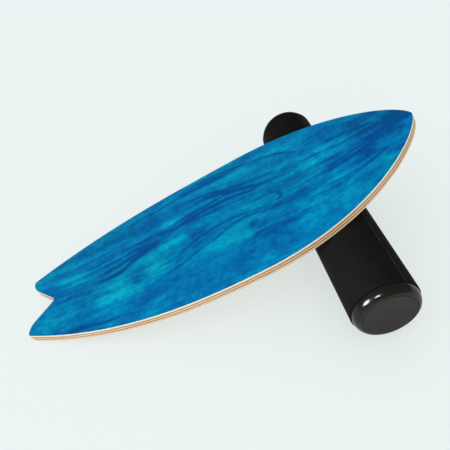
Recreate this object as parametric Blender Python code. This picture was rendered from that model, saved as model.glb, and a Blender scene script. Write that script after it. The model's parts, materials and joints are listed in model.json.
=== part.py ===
"""Roller balance board: a swallow-tailed plywood deck, bent upwards at both ends, on a loose roller.

Metres, +Z up. X runs from the deck's tail to its nose, Y along the roller, and the floor is z = 0.
The deck stands as it does when nobody is on it: tail tips on the floor, nose stop against the roller.
"""

import math

import bmesh
import bpy
from mathutils import Matrix, Vector

# Deck, seen from above: s runs from the tail tips (0) to the nose tip, v is across
DECK_LENGTH = 0.780
DECK_OFFSET_Y = 0.0125
WIDEST_AT = 0.454
HALF_WIDTH = 0.1518
NOSE_RADIUS = 0.011
NOSE_FLARE = math.radians(14)
NOSE_HANDLE = 0.041
NOSE_BELLY_HANDLE = 0.2055
TAIL_TIP_RADIUS = 0.0072
TAIL_TIP_V = 0.0613
TAIL_FLARE = math.radians(24.7)
TAIL_HANDLE = 0.194
TAIL_BELLY_HANDLE = 0.116
TAIL_INNER_RADIUS = 0.0334
TAIL_INNER_TURN = math.radians(46.5)
NOTCH_DEPTH = 0.0466
NOTCH_RADIUS = 0.006
EDGE_EASE = 0.0008

# Deck, seen from the side: both ends rise over the middle on one arc
END_RISE = 0.023
ARC_RADIUS = (DECK_LENGTH**2 / 4 + END_RISE**2) / (2 * END_RISE)
ARC_FACETS = 26

# Plies from the top: face veneer, five core plies, back veneer
VENEER = 0.0016
CORE_PLY = 0.0024
CORE_PLIES = 5
GLUE_LINE = 0.0003
PLY_DEPTHS = [VENEER] + [CORE_PLY] * CORE_PLIES + [VENEER]
PLY_TOPS = [sum(PLY_DEPTHS[:i]) + GLUE_LINE * i for i in range(len(PLY_DEPTHS))]
DECK_DEPTH = sum(PLY_DEPTHS) + GLUE_LINE * (len(PLY_DEPTHS) - 1)

# Roller
ROLLER_RADIUS = 0.055
ROLLER_LENGTH = 0.527
ROLLER_AT = 0.585
SLEEVE_WALL = 0.005
TUBE_WALL = 0.0047
CAP_RADIUS = 0.0530
CAP_DEPTH = 0.0165
CAP_PLUG = 0.024
CAP_WALL = 0.003
DISC_RADIUS = 0.0425
DISC_DEPTH = 0.0025
DISC_PROUD = 0.0005
SEAM_ANGLE = math.radians(56)
SEAM_WIDTH = 0.0016
SEAM_DEPTH = 0.0012
ROUND_STEPS = 72

# Stops under the deck, and their screws
STOP_HEIGHT = 0.012
STOP_WIDTH = 0.024
STOP_LENGTH = 0.180
STOP_ROUND = 0.003
SCREW_SPACING = 0.060
SCREW_HEAD_RADIUS = 0.0042
SCREW_RADIUS = 0.0020
SCREW_INTO_DECK = 0.0090
SCREW_SINK = 0.0004
SOCKET_RADIUS = 0.0016
SOCKET_DEPTH = 0.0015
HEAD_RIM = 0.0002
CUT_PAST = 0.001

FIT = 0.0003

# The deck's arc is struck about an axis high above it. Angles about that axis are counted from straight down.
ROLLER_ORBIT = ARC_RADIUS + DECK_DEPTH + FIT + ROLLER_RADIUS
ROLLER_BEARING = math.asin((ROLLER_AT - DECK_LENGTH / 2) / ARC_RADIUS)
TAIL_ORBIT = ARC_RADIUS + DECK_DEPTH
TAIL_BEARING = math.asin((EDGE_EASE - DECK_LENGTH / 2) / ARC_RADIUS)


def resting_tilt():
    """The tilt that puts the roller and the deck's lower tail edge on the same floor."""
    rise = ROLLER_ORBIT * math.cos(ROLLER_BEARING) - TAIL_ORBIT * math.cos(TAIL_BEARING)
    run = ROLLER_ORBIT * math.sin(ROLLER_BEARING) - TAIL_ORBIT * math.sin(TAIL_BEARING)
    return math.acos(-ROLLER_RADIUS / math.hypot(rise, run)) - math.atan2(run, rise)


TILT = resting_tilt()
END_BEARING = math.asin(DECK_LENGTH / 2 / ARC_RADIUS)
TAIL_X = (ARC_RADIUS + EDGE_EASE) * math.sin(TILT - END_BEARING)
NOSE_X = (ARC_RADIUS + DECK_DEPTH - EDGE_EASE) * math.sin(TILT + END_BEARING)
ARC_CENTRE = Vector((
    -(TAIL_X + NOSE_X) / 2,
    0,
    ROLLER_RADIUS + ROLLER_ORBIT * math.cos(ROLLER_BEARING + TILT),
))
ROLLER_CENTRE = Vector((
    ARC_CENTRE.x + ROLLER_ORBIT * math.sin(ROLLER_BEARING + TILT),
    0,
    ROLLER_RADIUS,
))


def on_arc(s, depth):
    """World x and z of a point s along the deck and depth below its top."""
    bearing = math.asin((s - DECK_LENGTH / 2) / ARC_RADIUS) + TILT
    reach = ARC_RADIUS + depth
    return ARC_CENTRE.x + reach * math.sin(bearing), ARC_CENTRE.z - reach * math.cos(bearing)


def deck_point(s, v, depth):
    """The same on the faceted deck, whose facets are flat between neighbouring stations."""
    place = min(max(s / DECK_LENGTH * ARC_FACETS, 0), ARC_FACETS)
    cell = min(int(place), ARC_FACETS - 1)
    share = place - cell
    x0, z0 = on_arc(cell * DECK_LENGTH / ARC_FACETS, depth)
    x1, z1 = on_arc((cell + 1) * DECK_LENGTH / ARC_FACETS, depth)
    return Vector((x0 + (x1 - x0) * share, DECK_OFFSET_Y + v, z0 + (z1 - z0) * share))


def bezier(a, b, c, d, steps):
    points = []
    for i in range(steps + 1):
        t = i / steps
        u = 1 - t
        weights = (u**3, 3 * u * u * t, 3 * u * t * t, t**3)
        points.append(tuple(sum(w * p[k] for w, p in zip(weights, (a, b, c, d))) for k in (0, 1)))
    return points


def arc(centre, radius, start, end, steps):
    points = []
    for i in range(steps + 1):
        angle = start + (end - start) * i / steps
        points.append((centre[0] + radius * math.cos(angle), centre[1] + radius * math.sin(angle)))
    return points


def half_outline():
    """One side of the deck's outline, from the nose tip round to the foot of the tail notch."""
    nose = arc((DECK_LENGTH - NOSE_RADIUS, 0), NOSE_RADIUS, 0, NOSE_FLARE, 3)
    shoulder = nose[-1]
    belly = (WIDEST_AT, HALF_WIDTH)
    ahead = bezier(
        shoulder,
        (
            shoulder[0] - NOSE_HANDLE * math.sin(NOSE_FLARE),
            shoulder[1] + NOSE_HANDLE * math.cos(NOSE_FLARE),
        ),
        (belly[0] + NOSE_BELLY_HANDLE, belly[1]),
        belly,
        22,
    )
    leaving = math.pi / 2 + TAIL_FLARE
    swallow = arc((TAIL_TIP_RADIUS, TAIL_TIP_V), TAIL_TIP_RADIUS, leaving, math.pi, 3)
    hip = swallow[0]
    behind = bezier(
        belly,
        (belly[0] - TAIL_BELLY_HANDLE, belly[1]),
        (hip[0] + TAIL_HANDLE * math.cos(TAIL_FLARE), hip[1] + TAIL_HANDLE * math.sin(TAIL_FLARE)),
        hip,
        22,
    )
    turned_in = math.pi + TAIL_INNER_TURN
    inner = arc((TAIL_INNER_RADIUS, TAIL_TIP_V), TAIL_INNER_RADIUS, math.pi, turned_in, 6)
    notch = arc((NOTCH_DEPTH - NOTCH_RADIUS, 0), NOTCH_RADIUS, TAIL_INNER_TURN, 0, 3)
    return nose + ahead[1:] + behind[1:] + swallow[1:] + inner[1:] + notch


def whole_outline():
    half = half_outline()
    return half + [(s, -v) for s, v in reversed(half[1:-1])]


def inset(outline, distance):
    """The outline drawn in by distance, along the normal at each point."""
    moved = []
    count = len(outline)
    for i, (s, v) in enumerate(outline):
        before = outline[i - 1]
        after = outline[(i + 1) % count]
        ds = after[0] - before[0]
        dv = after[1] - before[1]
        size = math.hypot(ds, dv)
        moved.append((s - dv / size * distance, v + ds / size * distance))
    return moved


def material(name, colour, roughness, metallic=0.0):
    made = bpy.data.materials.new(name)
    made.use_nodes = True
    shader = made.node_tree.nodes["Principled BSDF"]
    shader.inputs["Base Color"].default_value = (*colour, 1)
    shader.inputs["Roughness"].default_value = roughness
    shader.inputs["Metallic"].default_value = metallic
    return made


def add_object(name, mesh_data, look):
    """A named object from a bmesh, with its faces turned outwards."""
    mesh_data.normal_update()
    bmesh.ops.recalc_face_normals(mesh_data, faces=mesh_data.faces)
    mesh = bpy.data.meshes.new(name)
    mesh_data.to_mesh(mesh)
    mesh_data.free()
    mesh.materials.append(look)
    made = bpy.data.objects.new(name, mesh)
    bpy.context.scene.collection.objects.link(made)
    return made


def add_axis(name, place, parent=None):
    """An empty on a joint's axis, which the pieces that turn about it hang from."""
    axis = bpy.data.objects.new(name, None)
    axis.empty_display_size = 0.05
    bpy.context.scene.collection.objects.link(axis)
    axis.matrix_world = Matrix.Translation(place)
    if parent:
        hang(axis, parent)
    return axis


def hang(piece, axis):
    bpy.context.view_layer.update()
    piece.parent = axis
    piece.matrix_parent_inverse = axis.matrix_world.inverted()


def stack(rings):
    """A closed solid through rings of points, with a flat cap on the first and the last."""
    solid = bmesh.new()
    loops = [[solid.verts.new(p) for p in ring] for ring in rings]
    for lower, upper in zip(loops, loops[1:]):
        for i in range(len(lower)):
            j = (i + 1) % len(lower)
            solid.faces.new((lower[i], lower[j], upper[j], upper[i]))
    solid.faces.new(loops[0])
    solid.faces.new(loops[-1])
    return solid


def lathe(profile, axis_x, axis_z, steps=ROUND_STEPS):
    """A closed solid of revolution about an axis along Y. The profile is (radius, y) points in a loop."""
    solid = bmesh.new()
    rings = []
    for radius, y in profile:
        turns = steps if radius > 0 else 1
        rings.append([
            solid.verts.new((
                axis_x + radius * math.cos(2 * math.pi * i / steps),
                y,
                axis_z + radius * math.sin(2 * math.pi * i / steps),
            ))
            for i in range(turns)
        ])
    closed = rings if len(rings[0]) == 1 else rings + [rings[0]]
    for first, second in zip(closed, closed[1:]):
        for i in range(steps):
            j = (i + 1) % steps
            corners = [first[i % len(first)], first[j % len(first)]]
            corners += [second[j % len(second)], second[i % len(second)]]
            faces = list(dict.fromkeys(corners))
            if len(faces) > 2:
                solid.faces.new(faces)
    return solid


def make_ply(name, top, bottom, ease_top, ease_bottom, look):
    """One ply: the outline between two depths, cut at the arc's stations and bent onto the arc."""
    outline = whole_outline()
    eased = inset(outline, EDGE_EASE)
    levels = [(eased, top), (outline, top + EDGE_EASE)] if ease_top else [(outline, top)]
    levels += [(outline, bottom - EDGE_EASE), (eased, bottom)] if ease_bottom else [(outline, bottom)]
    solid = stack([[(s, v, -depth) for s, v in ring] for ring, depth in levels])
    for i in range(1, ARC_FACETS):
        bmesh.ops.bisect_plane(
            solid,
            geom=solid.verts[:] + solid.edges[:] + solid.faces[:],
            dist=1e-6,
            plane_co=(i * DECK_LENGTH / ARC_FACETS, 0, 0),
            plane_no=(1, 0, 0),
        )
    for vertex in solid.verts:
        vertex.co = deck_point(vertex.co.x, vertex.co.y, -vertex.co.z)
    return add_object(name, solid, look)


def under_deck(s, v):
    """A frame on the deck's underside: origin on the face, Z pointing away from the deck, Y across it."""
    bearing = math.asin((s - DECK_LENGTH / 2) / ARC_RADIUS) + TILT
    x, z = on_arc(s, DECK_DEPTH)
    away = Vector((math.sin(bearing), 0, -math.cos(bearing)))
    across = Vector((0, 1, 0))
    along = across.cross(away)
    frame = Matrix((along, across, away)).transposed().to_4x4()
    frame.translation = Vector((x, DECK_OFFSET_Y + v, z))
    return frame


def stop_reach():
    """How far a stop's inner face is from the roller's centre, measured along the deck, when they touch."""
    down = ROLLER_RADIUS + FIT - (STOP_HEIGHT - STOP_ROUND)
    slant = ROLLER_RADIUS + STOP_ROUND + FIT
    return math.sqrt(slant**2 - down**2) - STOP_ROUND


def make_stop(name, s, look):
    """A hardwood bar with round ends, its lower edge rounded over."""
    end = STOP_WIDTH / 2
    half = STOP_LENGTH / 2 - end
    plan = arc((0, half), end, 0, math.pi, 10) + arc((0, -half), end, math.pi, 2 * math.pi, 10)
    levels = [(0, FIT), (0, STOP_HEIGHT - STOP_ROUND)]
    for i in range(1, 5):
        turn = math.radians(90) * i / 4
        levels.append((
            STOP_ROUND * (1 - math.cos(turn)),
            STOP_HEIGHT - STOP_ROUND * (1 - math.sin(turn)),
        ))
    solid = stack([[(x, y, depth) for x, y in inset(plan, by)] for by, depth in levels])
    solid.transform(under_deck(s, 0))
    return add_object(name, solid, look)


def screw_profile(clearance, tip):
    """Head, neck and shank as (radius, height) from the stop's lower face, tip towards the deck."""
    face = STOP_HEIGHT - SCREW_SINK
    head = SCREW_HEAD_RADIUS + clearance
    shank = SCREW_RADIUS + clearance
    return [(0, tip), (shank, tip), (shank, face - (head - shank)), (head, face), (head, face + HEAD_RIM)]


def upright_lathe(profile, frame, steps):
    """A solid of revolution about the frame's Z."""
    solid = lathe(profile, 0, 0, steps)
    solid.transform(frame @ Matrix.Rotation(math.pi / 2, 4, "X"))
    return solid


def add_cutter(name, solid, look):
    cutter = add_object(name, solid, look)
    cutter.hide_render = True
    cutter.display_type = "WIRE"
    return cutter


def cut(piece, cutter):
    boolean = piece.modifiers.new(cutter.name, "BOOLEAN")
    boolean.operation = "DIFFERENCE"
    boolean.solver = "EXACT"
    boolean.object = cutter


def make_screw(name, s, v, drilled, looks):
    """A countersunk hex-socket screw from below, and its hole through the stop and the lower plies."""
    frame = under_deck(s, v)
    tip = -SCREW_INTO_DECK
    profile = screw_profile(0, tip) + [(0, STOP_HEIGHT - SCREW_SINK + HEAD_RIM)]
    screw = add_object(name, upright_lathe(profile, frame, 24), looks["steel"])
    socket = bmesh.new()
    bmesh.ops.create_cone(
        socket, cap_ends=True, segments=6, radius1=SOCKET_RADIUS, radius2=SOCKET_RADIUS,
        depth=2 * SOCKET_DEPTH,
    )
    socket.transform(frame @ Matrix.Translation((0, 0, STOP_HEIGHT - SCREW_SINK)))
    cut(screw, add_cutter(name + "_socket", socket, looks["steel"]))
    end_of_hole = -(DECK_DEPTH - PLY_TOPS[3] + GLUE_LINE / 2)
    wide = screw_profile(FIT, end_of_hole)
    wide[-1] = (SCREW_HEAD_RADIUS + FIT, STOP_HEIGHT + CUT_PAST)
    hole = add_cutter(
        name + "_hole",
        upright_lathe(wide + [(0, STOP_HEIGHT + CUT_PAST)], frame, 24),
        looks["steel"],
    )
    for piece in drilled:
        cut(piece, hole)
    return screw


def make_sleeve(look):
    """The grip sleeve: a ring with one lengthwise seam groove, drawn out along the roller."""
    reach = ROLLER_LENGTH / 2 - CAP_DEPTH - FIT
    groove = SEAM_WIDTH / ROLLER_RADIUS
    outer = arc(
        (0, 0), ROLLER_RADIUS, SEAM_ANGLE + groove / 2, SEAM_ANGLE - groove / 2 + 2 * math.pi, ROUND_STEPS
    )
    bottom = (
        (ROLLER_RADIUS - SEAM_DEPTH) * math.cos(SEAM_ANGLE),
        (ROLLER_RADIUS - SEAM_DEPTH) * math.sin(SEAM_ANGLE),
    )
    outer.append(bottom)
    inner_radius = ROLLER_RADIUS - SLEEVE_WALL
    inner = [
        (inner_radius * x / math.hypot(x, z), inner_radius * z / math.hypot(x, z)) for x, z in outer
    ]
    solid = bmesh.new()
    rings = []
    for ring, y in ((outer, -reach), (outer, reach), (inner, reach), (inner, -reach)):
        rings.append([solid.verts.new((ROLLER_CENTRE.x + x, y, ROLLER_CENTRE.z + z)) for x, z in ring])
    for first, second in zip(rings, rings[1:] + rings[:1]):
        for i in range(len(first)):
            j = (i + 1) % len(first)
            solid.faces.new((first[i], first[j], second[j], second[i]))
    return add_object("grip_sleeve", solid, look)


def make_end(side, name, looks):
    """The cap and its disc at one end of the roller. The side is -1 or +1, for the end towards -Y or +Y."""
    end = ROLLER_LENGTH / 2 - DISC_PROUD
    rim = DISC_RADIUS + FIT
    recess = end - (DISC_DEPTH - DISC_PROUD) - FIT
    seat = ROLLER_LENGTH / 2 - CAP_DEPTH
    lip = rim + 0.0006
    plug = ROLLER_RADIUS - SLEEVE_WALL - 2 * FIT - TUBE_WALL
    shoulder = []
    for i in range(9):
        turn = math.radians(90) * i / 8
        shoulder.append((
            lip + (CAP_RADIUS - lip) * math.sin(turn),
            seat + 0.0015 + (end - seat - 0.0015) * math.cos(turn),
        ))
    profile = [(0, recess), (rim, recess), (rim, end - 0.0003)]
    profile += shoulder
    profile += [(CAP_RADIUS, seat), (plug, seat), (plug, seat - CAP_PLUG)]
    profile += [(plug - CAP_WALL, seat - CAP_PLUG), (plug - CAP_WALL, recess - CAP_WALL)]
    profile += [(0, recess - CAP_WALL)]
    cap = add_object(
        "end_cap_" + name,
        lathe([(r, side * y) for r, y in profile], ROLLER_CENTRE.x, ROLLER_CENTRE.z, ROUND_STEPS),
        looks["cap"],
    )
    face = ROLLER_LENGTH / 2
    edge = [
        (0, face - DISC_DEPTH),
        (DISC_RADIUS, face - DISC_DEPTH),
        (DISC_RADIUS, face - 0.0006),
        (DISC_RADIUS - 0.0006, face),
        (0, face),
    ]
    disc = add_object(
        "end_disc_" + name,
        lathe([(r, side * y) for r, y in edge], ROLLER_CENTRE.x, ROLLER_CENTRE.z, ROUND_STEPS),
        looks["disc"],
    )
    return cap, disc


def make_tube(look):
    """The stiff tube under the sleeve."""
    reach = ROLLER_LENGTH / 2 - CAP_DEPTH - FIT
    outer = ROLLER_RADIUS - SLEEVE_WALL - FIT
    inner = outer - TUBE_WALL
    profile = [(outer, -reach), (outer, reach), (inner, reach), (inner, -reach)]
    return add_object("core_tube", lathe(profile, ROLLER_CENTRE.x, ROLLER_CENTRE.z), look)


def main():
    for item in list(bpy.data.objects):
        bpy.data.objects.remove(item, do_unlink=True)

    looks = {
        "stain": material("blue_stained_veneer", (0.004, 0.165, 0.40), 0.42),
        "pale": material("pale_core_ply", (0.80, 0.66, 0.42), 0.6),
        "brown": material("cross_grain_core_ply", (0.36, 0.20, 0.095), 0.65),
        "back": material("back_veneer", (0.62, 0.45, 0.26), 0.6),
        "wood": material("stop_hardwood", (0.55, 0.36, 0.18), 0.55),
        "steel": material("screw_steel", (0.55, 0.55, 0.56), 0.3, 1.0),
        "sleeve": material("grip_rubber", (0.008, 0.008, 0.008), 0.8),
        "cap": material("cap_gloss_plastic", (0.010, 0.009, 0.008), 0.18),
        "disc": material("disc_matte_plastic", (0.055, 0.055, 0.053), 0.6),
        "tube": material("tube_plastic", (0.30, 0.30, 0.29), 0.5),
    }

    rock_axis = add_axis("board_rock_axis", ROLLER_CENTRE)
    spin_axis = add_axis("roller_spin_axis", ROLLER_CENTRE, rock_axis)
    travel_axis = add_axis("board_travel_axis", ARC_CENTRE, rock_axis)

    names = ["ply_1_face_veneer"]
    names += [f"ply_{i}_core" for i in range(2, CORE_PLIES + 2)]
    names += [f"ply_{CORE_PLIES + 2}_back_veneer"]
    ply_looks = ["stain"] + ["pale" if i % 2 == 0 else "brown" for i in range(CORE_PLIES)] + ["back"]
    plies = []
    for i, (name, look) in enumerate(zip(names, ply_looks)):
        top = PLY_TOPS[i]
        plies.append(make_ply(
            name, top, top + PLY_DEPTHS[i], i == 0, i == len(names) - 1, looks[look]
        ))

    middle = stop_reach() + STOP_WIDTH / 2
    deck_pieces = list(plies)
    for name, s in (("nose", ROLLER_AT + middle), ("tail", DECK_LENGTH - ROLLER_AT - middle)):
        stop = make_stop(name + "_stop", s, looks["wood"])
        deck_pieces.append(stop)
        for number, v in enumerate((-SCREW_SPACING, 0, SCREW_SPACING), 1):
            screw = make_screw(f"{name}_stop_screw_{number}", s, v, [stop] + plies[3:], looks)
            deck_pieces.append(screw)
    for piece in deck_pieces:
        hang(piece, travel_axis)

    make_tube(looks["tube"])
    sleeve = make_sleeve(looks["sleeve"])
    hang(sleeve, spin_axis)
    for side, name in ((-1, "near"), (1, "far")):
        cap, disc = make_end(side, name, looks)
        hang(cap, spin_axis)
        hang(disc, rock_axis)


main()
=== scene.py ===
"""The looks of the roller balance board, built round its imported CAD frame. Metres, +Z up."""

import json
import math

import bmesh
import bpy
from mathutils import Matrix, Vector


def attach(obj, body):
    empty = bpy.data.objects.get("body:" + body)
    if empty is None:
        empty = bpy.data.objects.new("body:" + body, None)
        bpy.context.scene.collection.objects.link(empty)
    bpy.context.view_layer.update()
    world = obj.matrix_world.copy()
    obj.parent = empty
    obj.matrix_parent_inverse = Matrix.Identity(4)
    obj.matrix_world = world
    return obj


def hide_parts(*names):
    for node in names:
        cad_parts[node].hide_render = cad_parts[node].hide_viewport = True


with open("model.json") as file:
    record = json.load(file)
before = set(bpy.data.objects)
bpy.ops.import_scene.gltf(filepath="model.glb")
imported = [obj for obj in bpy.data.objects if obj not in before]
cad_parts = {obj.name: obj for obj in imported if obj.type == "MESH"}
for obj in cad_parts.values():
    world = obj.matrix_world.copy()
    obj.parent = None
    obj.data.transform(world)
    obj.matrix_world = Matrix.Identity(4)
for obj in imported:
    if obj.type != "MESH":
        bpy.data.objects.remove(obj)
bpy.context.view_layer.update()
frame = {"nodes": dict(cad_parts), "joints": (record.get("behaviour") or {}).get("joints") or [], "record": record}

# ------------------------------------------------------------------ sizes, as in the CAD part
DECK_LENGTH = 0.780
DECK_OFFSET_Y = 0.0125
WIDEST_AT = 0.454
HALF_WIDTH = 0.1518
NOSE_RADIUS = 0.011
NOSE_FLARE = math.radians(14)
NOSE_HANDLE = 0.041
NOSE_BELLY_HANDLE = 0.2055
TAIL_TIP_RADIUS = 0.0072
TAIL_TIP_V = 0.0613
TAIL_FLARE = math.radians(24.7)
TAIL_HANDLE = 0.194
TAIL_BELLY_HANDLE = 0.116
TAIL_INNER_RADIUS = 0.0334
TAIL_INNER_TURN = math.radians(46.5)
NOTCH_DEPTH = 0.0466
NOTCH_RADIUS = 0.006
END_RISE = 0.023
ARC_RADIUS = (DECK_LENGTH**2 / 4 + END_RISE**2) / (2 * END_RISE)
VENEER = 0.0016
CORE_PLY = 0.0024
CORE_PLIES = 5
GLUE_LINE = 0.0003
PLY_DEPTHS = [VENEER] + [CORE_PLY] * CORE_PLIES + [VENEER]
DECK_DEPTH = sum(PLY_DEPTHS) + GLUE_LINE * (len(PLY_DEPTHS) - 1)

joints = {joint["name"]: joint for joint in frame["joints"]}
ARC_CENTRE = Vector(joints["board_travel"]["pos_m"])
ROLLER_CENTRE = Vector(joints["board_rock"]["pos_m"])
ROLLER_RADIUS = 0.055

ROLLER_LENGTH = 0.527
ROLLER_AT = 0.585
SLEEVE_WALL = 0.005
TUBE_WALL = 0.0047
CAP_RADIUS = 0.0530
CAP_DEPTH = 0.0165
CAP_PLUG = 0.024
CAP_WALL = 0.003
DISC_RADIUS = 0.0425
DISC_DEPTH = 0.0025
DISC_PROUD = 0.0005
DISC_DISH = 0.0016
DISC_ROUND = 0.0016
SEAM_ANGLE = math.radians(56)
SEAM_WIDTH = 0.0018
SEAM_DEPTH = 0.0007
STOP_HEIGHT = 0.012
STOP_WIDTH = 0.024
STOP_LENGTH = 0.180
STOP_ROUND = 0.003
SCREW_SPACING = 0.060
SCREW_HEAD_RADIUS = 0.0042
SCREW_RADIUS = 0.0020
SCREW_SINK = 0.0004
SOCKET_RADIUS = 0.0016
SOCKET_DEPTH = 0.0015
FIT = 0.0003

STATIONS = 130
EDGE_ROUND = 0.0009
EDGE_STEPS = 4
INNER_EDGE_ROUND = 0.00012
SCREW_TURNS = 48


def resting_tilt():
    """The deck's tilt, from the roller's place under the arc."""
    orbit = Vector((ROLLER_CENTRE.x - ARC_CENTRE.x, ARC_CENTRE.z - ROLLER_CENTRE.z))
    return math.atan2(orbit.x, orbit.y) - math.asin((ROLLER_AT - DECK_LENGTH / 2) / ARC_RADIUS)


TILT = resting_tilt()


# ------------------------------------------------------------------ deck outline
def bezier(a, b, c, d, steps):
    points = []
    for i in range(steps + 1):
        t = i / steps
        u = 1 - t
        weights = (u**3, 3 * u * u * t, 3 * u * t * t, t**3)
        points.append(tuple(sum(w * p[k] for w, p in zip(weights, (a, b, c, d))) for k in (0, 1)))
    return points


def arc(centre, radius, start, end, steps):
    points = []
    for i in range(steps + 1):
        angle = start + (end - start) * i / steps
        points.append((centre[0] + radius * math.cos(angle), centre[1] + radius * math.sin(angle)))
    return points


def half_outline():
    """One side of the deck's outline, from the nose tip round to the foot of the tail notch."""
    nose = arc((DECK_LENGTH - NOSE_RADIUS, 0), NOSE_RADIUS, 0, NOSE_FLARE, 6)
    shoulder = nose[-1]
    belly = (WIDEST_AT, HALF_WIDTH)
    ahead = bezier(
        shoulder,
        (
            shoulder[0] - NOSE_HANDLE * math.sin(NOSE_FLARE),
            shoulder[1] + NOSE_HANDLE * math.cos(NOSE_FLARE),
        ),
        (belly[0] + NOSE_BELLY_HANDLE, belly[1]),
        belly,
        60,
    )
    leaving = math.pi / 2 + TAIL_FLARE
    swallow = arc((TAIL_TIP_RADIUS, TAIL_TIP_V), TAIL_TIP_RADIUS, leaving, math.pi, 10)
    hip = swallow[0]
    behind = bezier(
        belly,
        (belly[0] - TAIL_BELLY_HANDLE, belly[1]),
        (hip[0] + TAIL_HANDLE * math.cos(TAIL_FLARE), hip[1] + TAIL_HANDLE * math.sin(TAIL_FLARE)),
        hip,
        60,
    )
    turned_in = math.pi + TAIL_INNER_TURN
    inner = arc((TAIL_INNER_RADIUS, TAIL_TIP_V), TAIL_INNER_RADIUS, math.pi, turned_in, 16)
    notch = arc((NOTCH_DEPTH - NOTCH_RADIUS, 0), NOTCH_RADIUS, TAIL_INNER_TURN, 0, 8)
    return nose + ahead[1:] + behind[1:] + swallow[1:] + inner[1:] + notch


def whole_outline():
    half = half_outline()
    return half + [(s, -v) for s, v in reversed(half[1:-1])]


def inset(outline, distance):
    """The outline drawn in by distance, along the normal at each point."""
    moved = []
    count = len(outline)
    for i, (s, v) in enumerate(outline):
        before = outline[i - 1]
        after = outline[(i + 1) % count]
        ds = after[0] - before[0]
        dv = after[1] - before[1]
        size = math.hypot(ds, dv)
        moved.append((s - dv / size * distance, v + ds / size * distance))
    return moved


def deck_point(s, v, depth):
    """World place of a point s along the deck, v across it and depth below its top."""
    bearing = math.asin((s - DECK_LENGTH / 2) / ARC_RADIUS) + TILT
    reach = ARC_RADIUS + depth
    return Vector((
        ARC_CENTRE.x + reach * math.sin(bearing),
        DECK_OFFSET_Y + v,
        ARC_CENTRE.z - reach * math.cos(bearing),
    ))


# ------------------------------------------------------------------ mesh helpers
def add_piece(name, mesh_data, looks, body, replaced=(), sharp=35):
    """A named piece from a bmesh, smooth shaded up to the sharp angle, riding on a CAD body."""
    mesh_data.normal_update()
    bmesh.ops.recalc_face_normals(mesh_data, faces=mesh_data.faces)
    mesh = bpy.data.meshes.new(name)
    mesh_data.to_mesh(mesh)
    mesh_data.free()
    for look in looks:
        mesh.materials.append(look)
    mesh.shade_smooth()
    mesh.set_sharp_from_angle(angle=math.radians(sharp))
    piece = bpy.data.objects.new(name, mesh)
    bpy.context.scene.collection.objects.link(piece)
    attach(piece, body)
    if replaced:
        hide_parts(*replaced)
    return piece


def stack(rings):
    """A closed solid through rings of points, with a flat cap on the first and the last."""
    solid = bmesh.new()
    loops = [[solid.verts.new(p) for p in ring] for ring in rings]
    for lower, upper in zip(loops, loops[1:]):
        for i in range(len(lower)):
            j = (i + 1) % len(lower)
            solid.faces.new((lower[i], lower[j], upper[j], upper[i]))
    solid.faces.new(loops[0])
    solid.faces.new(loops[-1])
    return solid


def make_ply(name, node, top, bottom, round_top, round_bottom, looks):
    """One ply bent onto the arc.

    Its flat place is kept in the grain attribute, for the wood's figure.
    """
    outline = whole_outline()
    levels = []
    edge = EDGE_ROUND if round_top else INNER_EDGE_ROUND
    for i in range(EDGE_STEPS + 1):
        turn = math.radians(90) * i / EDGE_STEPS
        levels.append((edge * (1 - math.sin(turn)), top + edge * (1 - math.cos(turn))))
    edge = EDGE_ROUND if round_bottom else INNER_EDGE_ROUND
    for i in range(EDGE_STEPS + 1):
        turn = math.radians(90) * i / EDGE_STEPS
        levels.append((edge * (1 - math.cos(turn)), bottom - edge * (1 - math.sin(turn))))
    solid = stack([[(s, v, -depth) for s, v in inset(outline, by)] for by, depth in levels])
    for i in range(1, STATIONS):
        bmesh.ops.bisect_plane(
            solid,
            geom=solid.verts[:] + solid.edges[:] + solid.faces[:],
            dist=1e-6,
            plane_co=(i * DECK_LENGTH / STATIONS, 0, 0),
            plane_no=(1, 0, 0),
        )
    solid.normal_update()
    for face in solid.faces:
        face.material_index = 0 if abs(face.normal.z) > 0.7 else len(looks) - 1
    flat = [vertex.co.copy() for vertex in solid.verts]
    for vertex in solid.verts:
        vertex.co = deck_point(vertex.co.x, vertex.co.y, -vertex.co.z)
    piece = add_piece(name, solid, looks, "deck", [node])
    grain = piece.data.attributes.new("grain", "FLOAT_VECTOR", "POINT")
    grain.data.foreach_set("vector", [value for place in flat for value in place])
    return piece


def lathe(profile, turns=192, groove=None):
    """A closed solid of revolution about the roller's axis.

    The profile is a loop of (radius, y) points.
    A groove is (angle, width, depth, from radius): it dents every point beyond that radius.
    """
    angles = [2 * math.pi * i / turns for i in range(turns)]
    if groove:
        at, width = groove[0], groove[1] / ROLLER_RADIUS
        angles = [a for a in angles if abs(a - at) > width]
        shares = (-0.75, -0.5, -0.25, 0, 0.25, 0.5, 0.75)
        angles = sorted(angles + [at + width * share for share in shares])
    solid = bmesh.new()
    rings = []
    for radius, y in profile:
        ring = []
        for angle in angles if radius > 0 else [0]:
            reach = radius
            if groove and radius > groove[3] and abs(angle - at) < width * 0.4:
                reach -= groove[2]
            ring.append(solid.verts.new((
                ROLLER_CENTRE.x + reach * math.cos(angle),
                y,
                ROLLER_CENTRE.z + reach * math.sin(angle),
            )))
        rings.append(ring)
    closed = rings if len(rings[0]) == 1 else rings + [rings[0]]
    for first, second in zip(closed, closed[1:]):
        for i in range(len(angles)):
            j = (i + 1) % len(angles)
            corners = [first[i % len(first)], first[j % len(first)]]
            corners += [second[j % len(second)], second[i % len(second)]]
            corners = list(dict.fromkeys(corners))
            if len(corners) > 2:
                solid.faces.new(corners)
    return solid


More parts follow.
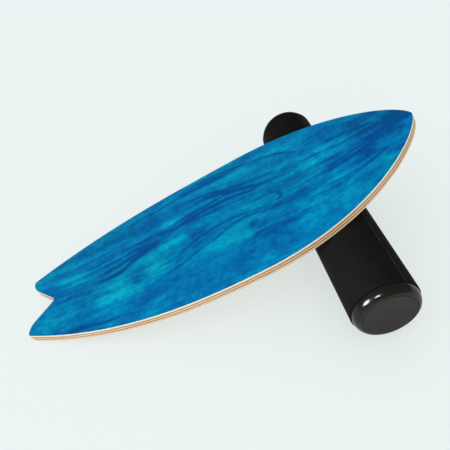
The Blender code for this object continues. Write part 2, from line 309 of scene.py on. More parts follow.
def rounded(corner, back, ahead, radius, steps=5):
    """The points of a rounded corner.

    Back and ahead are unit steps away from the corner along its two sides.
    """
    points = []
    for i in range(steps + 1):
        turn = math.radians(90) * i / steps
        toward_back = radius * (1 - math.sin(turn))
        toward_ahead = radius * (1 - math.cos(turn))
        points.append((
            corner[0] + back[0] * toward_back + ahead[0] * toward_ahead,
            corner[1] + back[1] * toward_back + ahead[1] * toward_ahead,
        ))
    return points


def under_deck(s, v):
    """A frame on the deck's underside: origin on the face, Z pointing away from the deck, Y across it."""
    bearing = math.asin((s - DECK_LENGTH / 2) / ARC_RADIUS) + TILT
    away = Vector((math.sin(bearing), 0, -math.cos(bearing)))
    across = Vector((0, 1, 0))
    along = across.cross(away)
    placed = Matrix((along, across, away)).transposed().to_4x4()
    placed.translation = deck_point(s, v, DECK_DEPTH)
    return placed


def stop_place(side):
    """How far along the deck a stop's centre lies. The side is 1 for the nose and -1 for the tail."""
    down = ROLLER_RADIUS + FIT - (STOP_HEIGHT - STOP_ROUND)
    slant = ROLLER_RADIUS + STOP_ROUND + FIT
    reach = math.sqrt(slant**2 - down**2) - STOP_ROUND
    return DECK_LENGTH / 2 + side * (ROLLER_AT - DECK_LENGTH / 2 + reach + STOP_WIDTH / 2)


def turned(profile, placed, turns):
    """A solid of revolution about a frame's Z, from (radius, height) points."""
    solid = bmesh.new()
    rings = []
    for radius, height in profile:
        count = turns if radius > 0 else 1
        rings.append([
            solid.verts.new((
                radius * math.cos(2 * math.pi * i / turns),
                radius * math.sin(2 * math.pi * i / turns),
                height,
            ))
            for i in range(count)
        ])
    for first, second in zip(rings, rings[1:]):
        for i in range(turns):
            j = (i + 1) % turns
            corners = [first[i % len(first)], first[j % len(first)]]
            corners += [second[j % len(second)], second[i % len(second)]]
            corners = list(dict.fromkeys(corners))
            if len(corners) > 2:
                solid.faces.new(corners)
    solid.transform(placed)
    return solid


# ------------------------------------------------------------------ materials
class Graph:
    """A short way to write a material's nodes.

    Any input may be a number, a tuple or another node's output.
    """

    def __init__(self, name):
        self.material = bpy.data.materials.new(name)
        self.material.use_nodes = True
        self.tree = self.material.node_tree
        self.shader = self.tree.nodes["Principled BSDF"]

    def put(self, socket, value):
        if isinstance(value, bpy.types.NodeSocket):
            self.tree.links.new(value, socket)
        elif isinstance(value, tuple) and len(value) == 3 and socket.type == "RGBA":
            socket.default_value = (*value, 1)
        else:
            socket.default_value = value

    def node(self, kind, inputs=(), **settings):
        made = self.tree.nodes.new("ShaderNode" + kind)
        for key, value in settings.items():
            setattr(made, key, value)
        for key, value in dict(inputs).items():
            self.put(made.inputs[key], value)
        return made

    def shade(self, **inputs):
        for key, value in inputs.items():
            self.put(self.shader.inputs[key.replace("_", " ")], value)

    def grain(self):
        return self.node("Attribute", attribute_name="grain").outputs["Vector"]

    def place(self):
        return self.node("TexCoord").outputs["Object"]

    def scaled(self, vector, scale, shift=(0, 0, 0)):
        inputs = {"Vector": vector, "Scale": scale, "Location": shift}
        return self.node("Mapping", inputs).outputs[0]

    def math(self, operation, a, b=0.0, c=0.0, clamp=False):
        made = self.node("Math", operation=operation, use_clamp=clamp)
        for socket, value in zip(made.inputs, (a, b, c)):
            self.put(socket, value)
        return made.outputs[0]

    def noise(self, vector, scale=1.0, detail=2.0, roughness=0.5, distortion=0.0):
        inputs = {
            "Vector": vector, "Scale": scale, "Detail": detail,
            "Roughness": roughness, "Distortion": distortion,
        }
        return self.node("TexNoise", inputs).outputs["Fac"]

    def fade(self, value, low, high, to_low=0.0, to_high=1.0):
        inputs = {"Value": value, "From Min": low, "From Max": high, "To Min": to_low, "To Max": to_high}
        return self.node("MapRange", inputs, interpolation_type="SMOOTHSTEP").outputs[0]

    def ramp(self, factor, *stops):
        made = self.node("ValToRGB", {"Fac": factor})
        elements = made.color_ramp.elements
        while len(elements) < len(stops):
            elements.new(0.5)
        for element, (place, colour) in zip(elements, stops):
            element.position = place
            element.color = (*colour, 1)
        return made.outputs["Color"]

    def mix(self, factor, a, b, blend="MIX"):
        made = self.node("Mix", data_type="RGBA", blend_type=blend)
        self.put(made.inputs[0], factor)
        self.put(made.inputs[6], a)
        self.put(made.inputs[7], b)
        return made.outputs[2]

    def bump(self, height, distance, strength=1.0, normal=None):
        inputs = {"Height": height, "Distance": distance, "Strength": strength}
        if normal:
            inputs["Normal"] = normal
        return self.node("Bump", inputs).outputs[0]

    def xyz(self, vector):
        return self.node("SeparateXYZ", {"Vector": vector}).outputs

    def vector(self, x, y, z=0.0):
        return self.node("CombineXYZ", {"X": x, "Y": y, "Z": z}).outputs[0]


# Soaked and pale patches: place along the deck, place across it, half length, half width, depth of stain
PATCHES = (
    (0.172, -0.026, 0.040, 0.012, -0.30),
    (0.182, -0.052, 0.048, 0.018, -0.36),
    (0.265, -0.038, 0.034, 0.018, -0.26),
    (0.412, -0.046, 0.044, 0.024, -0.25),
    (0.305, 0.062, 0.034, 0.010, -0.30),
    (0.440, 0.098, 0.060, 0.014, -0.24),
    (0.615, 0.030, 0.055, 0.024, -0.24),
    (0.590, -0.058, 0.050, 0.022, -0.24),
    (0.100, 0.035, 0.040, 0.010, -0.22),
    (0.305, 0.008, 0.034, 0.010, -0.16),
    (0.560, 0.104, 0.040, 0.012, -0.18),
    (0.045, -0.060, 0.030, 0.012, -0.18),
    (0.347, 0.004, 0.015, 0.018, 0.30),
    (0.371, 0.008, 0.010, 0.014, 0.30),
    (0.362, -0.016, 0.036, 0.018, 0.20),
    (0.461, -0.042, 0.011, 0.008, 0.44),
    (0.470, -0.050, 0.022, 0.010, 0.24),
    (0.230, -0.040, 0.018, 0.014, 0.26),
    (0.490, -0.092, 0.040, 0.034, 0.26),
    (0.415, -0.108, 0.028, 0.016, 0.20),
    (0.400, -0.122, 0.070, 0.014, 0.20),
    (0.265, -0.088, 0.060, 0.018, 0.26),
    (0.552, -0.036, 0.050, 0.012, 0.26),
    (0.604, 0.038, 0.010, 0.009, 0.22),
    (0.500, 0.106, 0.018, 0.010, 0.20),
    (0.560, 0.076, 0.020, 0.009, 0.18),
    (0.066, 0.048, 0.040, 0.012, 0.22),
    (0.220, 0.090, 0.120, 0.018, 0.20),
    (0.420, 0.130, 0.080, 0.012, 0.26),
    (0.672, -0.026, 0.036, 0.014, 0.26),
    (0.750, 0.004, 0.030, 0.020, 0.30),
    (0.700, 0.052, 0.050, 0.014, 0.22),
    (0.640, 0.082, 0.040, 0.012, 0.24),
    (0.090, -0.096, 0.060, 0.010, 0.30),
    (0.030, 0.010, 0.030, 0.030, 0.14),
    (0.735, 0.000, 0.066, 0.060, 0.36),
    (0.640, 0.100, 0.060, 0.012, 0.14),
)

# Long dark growth lines: half width, depth of stain, then points along the deck and across it
GROWTH_LINES = (
    (0.0050, 0.62, ((0.125, -0.006), (0.190, -0.004), (0.235, 0.014), (0.300, 0.024))),
    (0.0041, 0.50, ((0.120, 0.010), (0.180, 0.013), (0.240, 0.025), (0.300, 0.031))),
    (0.0040, 0.46, ((0.280, 0.036), (0.340, 0.047), (0.420, 0.050), (0.500, 0.036), (0.560, 0.030))),
    (0.0046, 0.48, ((0.350, 0.084), (0.410, 0.074), (0.465, 0.055), (0.520, 0.038), (0.585, 0.030))),
    (0.0030, 0.40, ((0.300, 0.056), (0.370, 0.060), (0.440, 0.062), (0.500, 0.048))),
    (0.0032, 0.34, ((0.200, 0.042), (0.280, 0.046), (0.350, 0.040), (0.420, 0.036), (0.500, 0.024))),
    (0.0035, 0.36, ((0.300, 0.098), (0.380, 0.094), (0.440, 0.074), (0.500, 0.062), (0.560, 0.048))),
    (0.0027, 0.30, ((0.130, 0.028), (0.200, 0.030), (0.280, 0.040))),
    (0.0024, 0.34, ((0.505, 0.018), (0.512, 0.006), (0.522, -0.002), (0.520, -0.018), (0.505, -0.028))),
    (0.0030, 0.26, ((0.220, -0.070), (0.300, -0.060), (0.360, -0.040), (0.450, -0.020), (0.520, -0.028))),
    (0.0027, 0.28, ((0.560, -0.010), (0.620, -0.018), (0.700, -0.012), (0.760, -0.006))),
    (0.0030, 0.34, ((0.580, 0.012), (0.650, 0.006), (0.720, 0.006), (0.770, 0.006))),
    (0.0024, 0.28, ((0.560, 0.046), (0.630, 0.036), (0.700, 0.028), (0.760, 0.016))),
    (0.0030, 0.30, ((0.620, 0.060), (0.680, 0.046), (0.730, 0.032))),
    (0.0027, 0.26, ((0.560, -0.052), (0.620, -0.060), (0.680, -0.052), (0.730, -0.038))),
    (0.0041, 0.34, ((0.060, -0.094), (0.140, -0.104), (0.230, -0.114))),
    (0.0027, 0.24, ((0.110, -0.012), (0.060, -0.016), (0.048, -0.018))),
    (0.0035, 0.26, ((0.020, 0.060), (0.100, 0.056), (0.200, 0.066), (0.290, 0.076))),
    (0.0028, 0.30, ((0.060, 0.045), (0.133, 0.038), (0.220, 0.048), (0.320, 0.055), (0.373, 0.055))),
    (0.0034, 0.34, ((0.160, 0.095), (0.267, 0.115), (0.373, 0.125), (0.453, 0.115), (0.507, 0.088))),
    (0.0030, 0.32, ((0.427, 0.128), (0.507, 0.115), (0.567, 0.088), (0.600, 0.055))),
    (0.0026, 0.30, ((0.233, -0.045), (0.300, -0.032), (0.373, -0.009), (0.460, -0.012), (0.533, -0.035))),
    (0.0026, 0.30, ((0.373, -0.045), (0.400, -0.029), (0.440, -0.020), (0.493, -0.029), (0.567, -0.039))),
    (0.0026, 0.32, ((0.533, -0.035), (0.600, -0.045), (0.667, -0.052), (0.740, -0.030))),
    (0.0024, 0.30, ((0.600, 0.035), (0.667, 0.028), (0.760, 0.011))),
    (0.0024, 0.30, ((0.587, -0.015), (0.653, -0.005), (0.740, 0.000))),
    (0.0027, 0.24, ((0.420, -0.090), (0.470, -0.070), (0.520, -0.080), (0.560, -0.100))),
)


def stained_veneer():
    """Rotary-cut veneer under a blue stain: arching growth lines, fibres, and soaked blotches."""
    g = Graph("blue_stained_veneer")
    grain = g.grain()
    s, v, _ = g.xyz(grain)

    # The grain wavers, and its edges are ragged
    slow = g.math("SUBTRACT", g.noise(g.scaled(grain, (11.0, 16.0, 0)), detail=2.0), 0.5)
    quick = g.math("SUBTRACT", g.noise(g.scaled(grain, (34.0, 60.0, 0), (3.1, 7.7, 0)), detail=3.0), 0.5)
    waver = g.math("ADD", g.math("MULTIPLY", slow, 0.010), g.math("MULTIPLY", quick, 0.0045))
    v_line = g.math("ADD", v, waver)
    ragged = g.noise(g.scaled(grain, (30.0, 46.0, 0), (8.8, 1.1, 0)), detail=4.0, roughness=0.65)
    push = g.math("MULTIPLY", g.math("SUBTRACT", ragged, 0.5), 4.2)

    # Growth lines, each drawn through its points and worn thin here and there
    wear = g.noise(g.scaled(grain, (16.0, 60.0, 0), (2.7, 0.4, 0)), detail=3.0)
    worn = g.fade(wear, 0.30, 0.60, 0.75, 1.5)
    lines = 0.0
    for half, depth, points in GROWTH_LINES:
        upright = abs(points[-1][1] - points[0][1]) > abs(points[-1][0] - points[0][0])
        run, rise = (v, g.math("ADD", s, waver)) if upright else (s, v_line)
        track = sorted((b, a) if upright else (a, b) for a, b in points)
        first, last = track[0][0], track[-1][0]
        share = g.math("DIVIDE", g.math("SUBTRACT", run, first), last - first, clamp=True)
        curve = g.node("FloatCurve", {"Value": share})
        knots = curve.mapping.curves[0].points
        while len(knots) < len(track):
            knots.new(0.5, 0.5)
        offset = track[0][1]
        for knot, (a, b) in zip(knots, track):
            knot.location = ((a - first) / (last - first), (b - offset) * 4 + 0.5)
            knot.handle_type = "AUTO"
        curve.mapping.update()
        centre = g.math("ADD", g.math("DIVIDE", g.math("SUBTRACT", curve.outputs[0], 0.5), 4.0), offset)
        off = g.math("DIVIDE", g.math("SUBTRACT", rise, centre), half)
        body = g.math("POWER", math.e, g.math("MULTIPLY", g.math("MULTIPLY", off, off), -1.0))
        taper = 0.30 * (last - first)
        ends = g.math(
            "MULTIPLY",
            g.fade(run, first, first + taper),
            g.fade(run, last, last - taper),
        )
        lines = g.math("ADD", lines, g.math("MULTIPLY", g.math("MULTIPLY", body, ends), depth))
    lines = g.math("MULTIPLY", lines, worn)

    # Soaked and pale patches with ragged edges
    patches = 0.0
    for at, off, half_length, half_width, depth in PATCHES:
        ds = g.math("DIVIDE", g.math("SUBTRACT", s, at), half_length)
        dv = g.math("DIVIDE", g.math("SUBTRACT", v, off), half_width)
        span = g.math("ADD", g.math("MULTIPLY", ds, ds), g.math("MULTIPLY", dv, dv))
        span = g.math("ADD", span, push)
        patches = g.math("ADD", patches, g.fade(span, 1.9, -0.3, 0.0, depth))

    # Where the lines arch, so do the faint bands between them
    along = g.math("DIVIDE", g.math("SUBTRACT", s, 0.38), 0.13)
    hill = g.math("POWER", math.e, g.math("MULTIPLY", g.math("MULTIPLY", along, along), -1.0))
    hill = g.math("MULTIPLY", hill, g.fade(v, -0.02, 0.07, 0.004, 0.044))
    flow = g.vector(s, g.math("SUBTRACT", v_line, hill))
    bands = g.noise(g.scaled(flow, (3.6, 56.0, 0), (1.3, 4.1, 0)), detail=4.0, roughness=0.6)
    breaks = g.noise(g.scaled(grain, (5.0, 8.0, 0), (7.7, 3.3, 0)), detail=2.0)
    banded = g.fade(breaks, 0.35, 0.62, 0.35, 1.0)
    fine = g.noise(g.scaled(flow, (9.0, 190.0, 0), (6.3, 2.9, 0)), detail=3.0, roughness=0.6)
    fibres = g.noise(g.scaled(flow, (26.0, 700.0, 0)), detail=3.0, roughness=0.6)
    soak_place = g.scaled(grain, (21.0, 28.0, 0), (5.9, 2.2, 0))
    soak = g.noise(soak_place, detail=6.0, roughness=0.62, distortion=0.7)
    mottle = g.noise(g.scaled(grain, (90.0, 110.0, 0), (4.4, 6.6, 0)), detail=4.0, roughness=0.7)

    depth = g.math("ADD", lines, patches)
    depth = g.math("ADD", depth, g.math("MULTIPLY", g.fade(bands, 0.38, 0.62, -0.13, 0.20), banded))
    depth = g.math("ADD", depth, g.fade(fine, 0.34, 0.66, -0.035, 0.045))
    depth = g.math("ADD", depth, g.fade(soak, 0.34, 0.66, -0.14, 0.14))
    depth = g.math("ADD", depth, g.fade(mottle, 0.32, 0.68, -0.11, 0.11))
    depth = g.math("ADD", depth, g.math("MULTIPLY", g.math("SUBTRACT", fibres, 0.5), 0.08))
    depth = g.math("ADD", depth, 0.44, clamp=True)
    colour = g.ramp(
        depth,
        (0.0, (0.001, 0.430, 0.640)),
        (0.22, (0.001, 0.318, 0.560)),
        (0.45, (0.001, 0.208, 0.482)),
        (0.72, (0.001, 0.134, 0.388)),
        (1.0, (0.002, 0.078, 0.290)),
    )
    green = g.fade(g.noise(g.scaled(grain, (4.0, 7.0, 0), (2.1, 9.4, 0)), detail=2.0), 0.40, 0.66)
    tinted = g.mix(1.0, colour, (1.0, 1.05, 0.80), "MULTIPLY")
    colour = g.mix(g.math("MULTIPLY", green, 0.60), colour, tinted)
    rough = g.math("ADD", g.math("MULTIPLY", fibres, 0.12), g.math("MULTIPLY", bands, 0.08))
    g.shade(
        Base_Color=colour,
        Roughness=g.math("ADD", rough, 0.36),
        Normal=g.bump(g.math("ADD", fibres, g.math("MULTIPLY", lines, -0.6)), 0.00010, 0.5),
    )
    g.shader.inputs["Specular IOR Level"].default_value = 0.01
    return g.material


def ply_edge(name, light, dark, streak, cross):
    """The edge of a ply: streaks along the layer, with pores where it is cut across the grain."""
    g = Graph(name)
    grain = g.grain()
    lines = g.noise(g.scaled(grain, (22.0, 22.0, 1500.0)), detail=4.0, roughness=0.6)
    drift = g.noise(g.scaled(grain, (9.0, 9.0, 60.0), (2.2, 5.5, 0)), detail=2.0)
    pores = g.noise(g.scaled(grain, (900.0, 900.0, 700.0) if cross else (60.0, 60.0, 1900.0)), detail=2.0)
    value = g.math("ADD", g.math("MULTIPLY", lines, streak), g.math("MULTIPLY", drift, 1 - streak))
    value = g.math("ADD", value, g.math("MULTIPLY", g.math("SUBTRACT", pores, 0.5), 0.35), clamp=True)
    g.shade(
        Base_Color=g.ramp(value, (0.30, dark), (0.66, light)),
        Roughness=g.math("ADD", g.math("MULTIPLY", pores, 0.12), 0.52),
        Normal=g.bump(g.math("ADD", pores, lines), 0.00008, 0.5),
    )
    return g.material


def natural_wood(name, light, dark, rings, roughness):
    """Unstained wood with its grain along the deck."""
    g = Graph(name)
    grain = g.grain()
    _, v, _ = g.xyz(grain)
    drift = g.noise(g.scaled(grain, (2.0, 6.5, 0), (7.0, 3.0, 0)), detail=2.0)
    field = g.math("ADD", g.math("MULTIPLY", v, rings), g.math("MULTIPLY", drift, 7.0))
    ring = g.math("FRACT", field)
    late = g.math("MULTIPLY", g.fade(ring, 0.3, 0.95), g.fade(ring, 1.0, 0.95))
    fibres = g.noise(g.scaled(grain, (16.0, 700.0, 0)), detail=3.0, roughness=0.6)
    value = g.math("ADD", g.math("MULTIPLY", late, 0.45), g.math("MULTIPLY", fibres, 0.45), clamp=True)
    g.shade(
        Base_Color=g.ramp(value, (0.1, light), (0.85, dark)),
        Roughness=g.math("ADD", g.math("MULTIPLY", fibres, 0.12), roughness),
        Normal=g.bump(g.math("ADD", fibres, g.math("MULTIPLY", late, 0.3)), 0.0001, 0.6),
    )
    return g.material


def moulded(name, colour, roughness, grit, grit_size, specular=0.5):
    """Moulded rubber or plastic with a fine surface of bumps as high as the grit."""
    g = Graph(name)
    place = g.place()
    fine = g.noise(place, scale=1 / grit_size, detail=2.0, roughness=0.7)
    broad = g.noise(place, scale=22.0, detail=3.0)
    light = tuple(c * 1.3 for c in colour)
    dark = tuple(c * 0.85 for c in colour)
    shade = g.fade(g.math("ADD", broad, g.math("MULTIPLY", fine, 0.3)), 0.35, 0.9)
    g.shade(
        Base_Color=g.mix(shade, dark, light),
        Roughness=g.math("ADD", g.math("MULTIPLY", g.math("SUBTRACT", broad, 0.5), 0.10), roughness),
        Normal=g.bump(fine, grit, 1.0),
    )
    g.shader.inputs["Specular IOR Level"].default_value = specular
    return g.material


# ------------------------------------------------------------------ the deck
stain = stained_veneer()
stain_edge = ply_edge("face_ply_edge", (1.0, 0.96, 0.84), (0.92, 0.82, 0.62), 0.5, False)
pale_edge = ply_edge("pale_ply_edge", (0.92, 0.66, 0.41), (0.68, 0.42, 0.22), 0.6, False)
brown_edge = ply_edge("cross_ply_edge", (0.38, 0.20, 0.105), (0.20, 0.095, 0.045), 0.5, True)
back_face = natural_wood("back_veneer", (0.66, 0.49, 0.29), (0.46, 0.30, 0.15), 30.0, 0.45)

top = 0.0
ply_nodes = frame["record"]["behaviour"]["bodies"]["deck"][: len(PLY_DEPTHS)]
for number, (node, thickness) in enumerate(zip(ply_nodes, PLY_DEPTHS)):
    face_ply = number == 0
    back_ply = number == len(PLY_DEPTHS) - 1
    if face_ply:
        ply_looks, ply_slot = [stain, stain_edge], "blue_stained_veneer"
    elif back_ply:
        ply_looks, ply_slot = [back_face], "back_veneer"
    elif number % 2 == 1:
        ply_looks, ply_slot = [pale_edge], "pale_core_ply"
    else:
        ply_looks, ply_slot = [brown_edge], "cross_grain_core_ply"
    make_ply(
        "deck_" + node,
        node,
        top - (0 if face_ply else GLUE_LINE / 3),
        top + thickness + (0 if back_ply else GLUE_LINE / 3),
        face_ply,
        back_ply,
        ply_looks,
    )
    top += thickness + GLUE_LINE

# ------------------------------------------------------------------ the roller
rubber = moulded("grip_rubber", (0.0058, 0.0056, 0.0051), 0.74, 0.00010, 0.0011, specular=0.05)
seam_look = moulded("seam_glue", (0.028, 0.019, 0.012), 0.60, 0.00005, 0.0008)
gloss = moulded("cap_gloss_plastic", (0.0150, 0.0138, 0.0122), 0.17, 0.00001, 0.0020, specular=0.20)
matte = moulded("disc_matte_plastic", (0.0200, 0.0180, 0.0150), 0.40, 0.00002, 0.0007, specular=0.12)
tube = moulded("tube_plastic", (0.30, 0.30, 0.29), 0.5, 0.00002, 0.001)

core = frame["nodes"]["core_tube"]
core.data.materials.clear()
core.data.materials.append(tube)

half = ROLLER_LENGTH / 2 - CAP_DEPTH - FIT
inner = ROLLER_RADIUS - SLEEVE_WALL
sleeve_profile = rounded((ROLLER_RADIUS, -half), (-1, 0), (0, 1), 0.0007)
sleeve_profile += rounded((ROLLER_RADIUS, half), (0, -1), (-1, 0), 0.0007)
sleeve_profile += [(inner, half), (inner, -half)]
sleeve = lathe(sleeve_profile, 192, (SEAM_ANGLE, SEAM_WIDTH, SEAM_DEPTH, inner + 0.001))
for face in sleeve.faces:
    middle = face.calc_center_median() - ROLLER_CENTRE
    bearing = math.atan2(middle.z, middle.x)
    radius = math.hypot(middle.x, middle.z)
    in_seam = abs(bearing - SEAM_ANGLE) < SEAM_WIDTH * 0.45 / ROLLER_RADIUS
    face.material_index = 1 if in_seam and radius > inner + 0.001 and abs(middle.y) < half - 0.0008 else 0
add_piece("sleeve", sleeve, [rubber, seam_look], "roller", ["grip_sleeve"])

for side, end_name in ((-1, "near"), (1, "far")):
    end = ROLLER_LENGTH / 2 - DISC_PROUD
    rim = DISC_RADIUS + FIT
    recess = end - (DISC_DEPTH - DISC_PROUD) - FIT
    seat = ROLLER_LENGTH / 2 - CAP_DEPTH
    lip = rim + 0.0006
    plug = ROLLER_RADIUS - SLEEVE_WALL - 2 * FIT - TUBE_WALL
    profile = [(0, recess), (rim, recess)]
    profile += rounded((rim, end), (0, -1), (1, 0), 0.0004, 3)
    for i in range(29):
        turn = math.radians(90) * i / 28
        profile.append((
            lip + (CAP_RADIUS - lip) * math.sin(turn),
            seat + 0.0015 + (end - seat - 0.0015) * math.cos(turn),
        ))
    profile += rounded((CAP_RADIUS, seat), (0, 1), (-1, 0), 0.0005, 3)
    profile += [(plug, seat), (plug, seat - CAP_PLUG), (plug - CAP_WALL, seat - CAP_PLUG)]
    profile += [(plug - CAP_WALL, recess - CAP_WALL), (0, recess - CAP_WALL)]
    cap = lathe([(radius, side * y) for radius, y in profile])
    add_piece("cap_" + end_name, cap, [gloss], "roller", ["end_cap_" + end_name])

    face_y = ROLLER_LENGTH / 2
    profile = [(0, face_y - DISC_DEPTH), (DISC_RADIUS, face_y - DISC_DEPTH)]
    profile += rounded((DISC_RADIUS, face_y), (0, -1), (-1, 0), DISC_ROUND, 8)
    for i in range(1, 13):
        share = 1 - i / 12
        profile.append(((DISC_RADIUS - DISC_ROUND) * share, face_y - DISC_DISH * (1 - share**2)))
    disc = lathe([(radius, side * y) for radius, y in profile], 160)
    add_piece("disc_" + end_name, disc, [matte], "rocker", ["end_disc_" + end_name])

# ------------------------------------------------------------------ the stops and their screws
hardwood = natural_wood("stop_hardwood", (0.50, 0.31, 0.15), (0.27, 0.145, 0.06), 260.0, 0.42)
steel_graph = Graph("screw_steel")
steel_place = steel_graph.place()
brushed = steel_graph.noise(steel_graph.scaled(steel_place, (900, 900, 900)), detail=3.0)
steel_graph.shade(
    Base_Color=steel_graph.ramp(brushed, (0.3, (0.42, 0.42, 0.41)), (0.7, (0.62, 0.62, 0.60))),
    Metallic=1.0,
    Roughness=steel_graph.fade(brushed, 0.3, 0.7, 0.24, 0.40),
    Normal=steel_graph.bump(brushed, 0.00002, 0.5),
)
steel = steel_graph.material


def screw_outline(clearance, tip, top):
    """Head and shank as (radius, height) from the deck's underside, the tip towards the deck."""
    face = STOP_HEIGHT - SCREW_SINK
    head = SCREW_HEAD_RADIUS + clearance
    shank = SCREW_RADIUS + clearance
    return [(0, tip), (shank, tip), (shank, face - (head - shank)), (head, face), (head, top)]


def drilled(piece, holes):
    """The piece with its holes cut, as one plain mesh."""
    for hole in holes:
        boolean = piece.modifiers.new("hole", "BOOLEAN")
        boolean.operation = "DIFFERENCE"
        boolean.solver = "EXACT"
        boolean.object = hole
    cut_mesh = bpy.data.meshes.new_from_object(piece.evaluated_get(bpy.context.evaluated_depsgraph_get()))
    piece.modifiers.clear()
    old_mesh = piece.data
    cut_mesh.name = old_mesh.name
    piece.data = cut_mesh
    bpy.data.meshes.remove(old_mesh)
    for hole in holes:
        hole_mesh = hole.data
        bpy.data.objects.remove(hole, do_unlink=True)
        bpy.data.meshes.remove(hole_mesh)
    piece.data.shade_smooth()
    piece.data.set_sharp_from_angle(angle=math.radians(35))


def cutter(solid):
    mesh = bpy.data.meshes.new("cutter")
    bmesh.ops.recalc_face_normals(solid, faces=solid.faces)
    solid.to_mesh(mesh)
    solid.free()
    hole = bpy.data.objects.new("cutter", mesh)
    bpy.context.scene.collection.objects.link(hole)
    return hole


for side, end_name in ((1, "nose"), (-1, "tail")):
    s = stop_place(side)
    half_length = STOP_LENGTH / 2 - STOP_WIDTH / 2
    plan = arc((0, half_length), STOP_WIDTH / 2, 0, math.pi, 28)
    plan += arc((0, -half_length), STOP_WIDTH / 2, math.pi, 2 * math.pi, 28)
    levels = [(0.0006, FIT), (0.0002, FIT + 0.0003), (0, FIT + 0.0008)]
    for i in range(9):
        turn = math.radians(90) * i / 8
        levels.append((
            STOP_ROUND * (1 - math.cos(turn)),
            STOP_HEIGHT - STOP_ROUND * (1 - math.sin(turn)),
        ))
    solid = stack([[(x, y, depth) for x, y in inset(plan, by)] for by, depth in levels])
    flat = [(vertex.co.y + s, vertex.co.x, vertex.co.z) for vertex in solid.verts]
    solid.transform(under_deck(s, 0))
    stop = add_piece(
        end_name + "_stop_bar",
        solid,
        [hardwood],
        "deck",
        [end_name + "_stop"],
    )
    grain = stop.data.attributes.new("grain", "FLOAT_VECTOR", "POINT")
    grain.data.foreach_set("vector", [value for place in flat for value in place])
    holes = []
    for number, v in enumerate((-SCREW_SPACING, 0, SCREW_SPACING), 1):
        name = f"{end_name}_stop_screw_{number}"
        placed = under_deck(s, v)
        wide = screw_outline(FIT, -0.001, STOP_HEIGHT + 0.001) + [(0, STOP_HEIGHT + 0.001)]
        holes.append(cutter(turned(wide, placed, SCREW_TURNS)))
        face = STOP_HEIGHT - SCREW_SINK
        profile = screw_outline(0, -0.009, face + 0.0001)
        profile += [(SCREW_HEAD_RADIUS - 0.0003, face + 0.0002), (0, face + 0.0002)]
        screw = add_piece(
            name + "_turned",
            turned(profile, placed, SCREW_TURNS),
            [steel],
            "deck",
            [name],
        )
        socket = bmesh.new()
        bmesh.ops.create_cone(
            socket,
            cap_ends=True,
            segments=6,
            radius1=SOCKET_RADIUS,
            radius2=SOCKET_RADIUS,
            depth=2 * SOCKET_DEPTH,
        )
        socket.transform(placed @ Matrix.Translation((0, 0, face)))
        drilled(screw, [cutter(socket)])
    drilled(stop, holes)

# ------------------------------------------------------------------ stage, light and camera
FLOOR_SIZE = 80.0
STUDIO_TINT = (0.918, 1.0, 0.991)
STUDIO_LIGHT = 0.896
FLOOR_ALBEDO = 0.30
floor_data = bmesh.new()
bmesh.ops.create_grid(floor_data, x_segments=1, y_segments=1, size=FLOOR_SIZE / 2)
floor_mesh = bpy.data.meshes.new("floor")
floor_data.to_mesh(floor_mesh)
floor_data.free()
floor = bpy.data.objects.new("floor", floor_mesh)
floor.location.z = -0.0005
bpy.context.scene.collection.objects.link(floor)
floor_look = Graph("floor_paper")
floor_look.shade(
    Base_Color=(FLOOR_ALBEDO, FLOOR_ALBEDO, FLOOR_ALBEDO),
    Roughness=0.9,
    Emission_Color=STUDIO_TINT,
)
floor_look.shader.inputs["Emission Strength"].default_value = STUDIO_LIGHT * (1 - FLOOR_ALBEDO)
floor_look.shader.inputs["Specular IOR Level"].default_value = 0.0
floor_mesh.materials.append(floor_look.material)

world = bpy.data.worlds.new("studio")
world.use_nodes = True
world.node_tree.nodes["Background"].inputs["Color"].default_value = (*STUDIO_TINT, 1)
world.node_tree.nodes["Background"].inputs["Strength"].default_value = STUDIO_LIGHT
world.cycles_visibility.glossy = False
bpy.context.scene.world = world


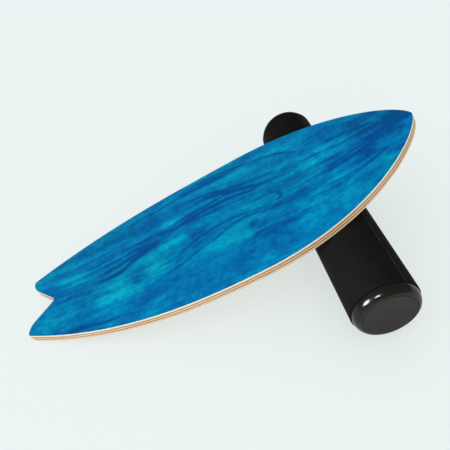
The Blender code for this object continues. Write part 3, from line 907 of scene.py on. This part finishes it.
def add_softbox(name, aim, bearing, height, distance, size, power):
    """An area light seen from aim at a bearing from +X and a height above level."""
    aim = Vector(aim)
    direction = Vector((
        math.cos(height) * math.cos(bearing),
        math.cos(height) * math.sin(bearing),
        math.sin(height),
    ))
    light = bpy.data.lights.new(name, "AREA")
    light.shape = "DISK"
    light.size = size
    light.energy = power
    lamp = bpy.data.objects.new(name, light)
    bpy.context.scene.collection.objects.link(lamp)
    lamp.location = aim + direction * distance
    lamp.rotation_euler = (-direction).to_track_quat("-Z", "Y").to_euler()
    return lamp


NEAR_CAP = (ROLLER_CENTRE.x, -ROLLER_LENGTH / 2, ROLLER_CENTRE.z)
glints = [
    add_softbox("side_softbox", NEAR_CAP, math.radians(-165), math.radians(29), 2.2, 0.86, 150),
    add_softbox("top_softbox", NEAR_CAP, math.radians(-126), math.radians(56), 2.4, 0.52, 64),
    add_softbox("low_softbox", NEAR_CAP, math.radians(-135), math.radians(24), 2.4, 0.60, 3),
]
for glint in glints:
    glint.visible_diffuse = False
front = add_softbox("front_softbox", NEAR_CAP, math.radians(-118), math.radians(9), 2.4, 0.8, 15)
front.visible_glossy = False

CAMERA_PLACE = Vector((0.0328, -0.6403, 0.6716))
CAMERA_BEARING = math.radians(-1.015)
CAMERA_DIP = math.radians(42.694)
CAMERA_ROLL = math.radians(18.537)
CAMERA_LENS = 38.446

forward = Vector((
    math.cos(CAMERA_DIP) * math.sin(CAMERA_BEARING),
    math.cos(CAMERA_DIP) * math.cos(CAMERA_BEARING),
    -math.sin(CAMERA_DIP),
))
level = forward.cross(Vector((0, 0, 1))).normalized()
steep = level.cross(forward)
right = level * math.cos(CAMERA_ROLL) - steep * math.sin(CAMERA_ROLL)
up = right.cross(forward)
camera_data = bpy.data.cameras.new("camera")
camera_data.sensor_width = 36
camera_data.lens = CAMERA_LENS
camera = bpy.data.objects.new("camera", camera_data)
bpy.context.scene.collection.objects.link(camera)
camera.matrix_world = Matrix((
    (right.x, up.x, -forward.x, CAMERA_PLACE.x),
    (right.y, up.y, -forward.y, CAMERA_PLACE.y),
    (right.z, up.z, -forward.z, CAMERA_PLACE.z),
    (0, 0, 0, 1),
))
bpy.context.scene.camera = camera
bpy.context.scene.view_settings.view_transform = "Standard"
